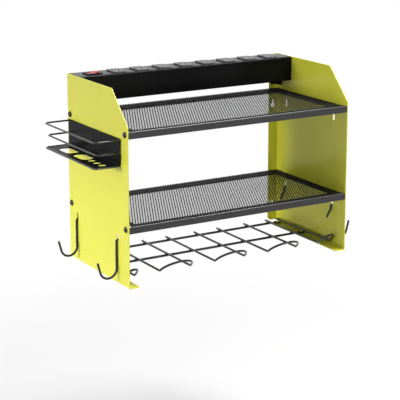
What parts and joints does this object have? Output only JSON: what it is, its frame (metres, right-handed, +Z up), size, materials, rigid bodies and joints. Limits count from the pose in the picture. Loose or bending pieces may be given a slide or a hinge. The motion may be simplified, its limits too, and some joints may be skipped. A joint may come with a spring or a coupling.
{
  "type": "wall mounted power tool organizer",
  "caption": "Wall rack for cordless tools: folded side panels, mesh shelves, a power strip, wire hanger loops below, side hooks and a hanging side bin.",
  "frame": {"origin": "on the wall plane, midway across the width between the side panels' outer faces, level with the panels' bottom edges", "axes": "+Z up, +X to the right of someone facing the rack, +Y into the wall"},
  "size_m": [0.5287, 0.223, 0.3328],
  "materials": {
    "lime_powder_coat": "smooth glossy powder coat",
    "charcoal_powder_coat": "fine matt powder coat",
    "black_coated_wire": "glossy dip coat on steel wire",
    "black_screw": "black oxide, slightly oiled",
    "gloss_black_plastic": "polished moulding",
    "grey_plastic": "fine moulded texture",
    "red_plastic": "polished translucent moulding",
    "brass": "rolled strip"
  },
  "bodies": {
    "organizer": {"left_side_panel": "lime_powder_coat", "right_side_panel": "lime_powder_coat", "upper_shelf_frame": "charcoal_powder_coat", "upper_shelf_mesh": "charcoal_powder_coat", "lower_shelf_frame": "charcoal_powder_coat", "lower_shelf_mesh": "charcoal_powder_coat", "shelf_screw_upper_left_front": "black_screw", "shelf_screw_upper_left_rear": "black_screw", "shelf_screw_upper_right_front": "black_screw", "shelf_screw_upper_right_rear": "black_screw", "shelf_screw_lower_left_front": "black_screw", "shelf_screw_lower_left_rear": "black_screw", "shelf_screw_lower_right_front": "black_screw", "shelf_screw_lower_right_rear": "black_screw", "hanger_loop_1": "black_coated_wire", "hanger_loop_2": "black_coated_wire", "hanger_loop_3": "black_coated_wire", "hanger_loop_4": "black_coated_wire", "hanger_loop_5": "black_coated_wire", "rear_cross_rod": "black_coated_wire", "middle_cross_rod": "black_coated_wire", "rack_screw_rear_left": "black_screw", "rack_screw_rear_right": "black_screw", "rack_screw_middle_left": "black_screw", "rack_screw_middle_right": "black_screw", "strip_base": "gloss_black_plastic", "strip_cover": "gloss_black_plastic", "left_end_cap": "gloss_black_plastic", "right_end_cap": "gloss_black_plastic", "left_strip_screw": "black_screw", "right_strip_screw": "black_screw", "live_bar": "brass", "earth_bar": "brass", "neutral_bar": "brass", "outlet_1": "grey_plastic", "outlet_2": "grey_plastic", "outlet_3": "grey_plastic", "outlet_4": "grey_plastic", "outlet_5": "grey_plastic", "outlet_6": "grey_plastic", "outlet_7": "grey_plastic", "outlet_8": "grey_plastic", "switch_bezel": "gloss_black_plastic", "cable_gland": "gloss_black_plastic"},
    "side_bin": {"side_bin_plate": "charcoal_powder_coat", "side_bin_wire_bottom": "black_coated_wire", "side_bin_wire_middle": "black_coated_wire", "side_bin_wire_top": "black_coated_wire"},
    "hook_left_front": {"side_hook_left_front": "black_coated_wire"},
    "hook_left_rear": {"side_hook_left_rear": "black_coated_wire"},
    "hook_right_front": {"side_hook_right_front": "black_coated_wire"},
    "hook_right_rear": {"side_hook_right_rear": "black_coated_wire"},
    "rocker": {"rocker": "red_plastic"}
  },
  "joints": [
    {"name": "side_bin_lift", "type": "slide", "parent": "organizer", "child": "side_bin", "axis": [0, 0, 1], "range_m": [0, 0.0034]},
    {"name": "hook_left_front_lift", "type": "slide", "parent": "organizer", "child": "hook_left_front", "axis": [0, 0, 1], "range_m": [0, 0.0092]},
    {"name": "hook_left_rear_lift", "type": "slide", "parent": "organizer", "child": "hook_left_rear", "axis": [0, 0, 1], "range_m": [0, 0.0092]},
    {"name": "hook_right_front_lift", "type": "slide", "parent": "organizer", "child": "hook_right_front", "axis": [0, 0, 1], "range_m": [0, 0.0092]},
    {"name": "hook_right_rear_lift", "type": "slide", "parent": "organizer", "child": "hook_right_rear", "axis": [0, 0, 1], "range_m": [0, 0.0092]},
    {"name": "rocker_tip", "type": "hinge", "parent": "organizer", "child": "rocker", "pos_m": [-0.1825, -0.02515, 0.3279], "axis": [0, 1, 0], "range_deg": [0, 16]}
  ]
}
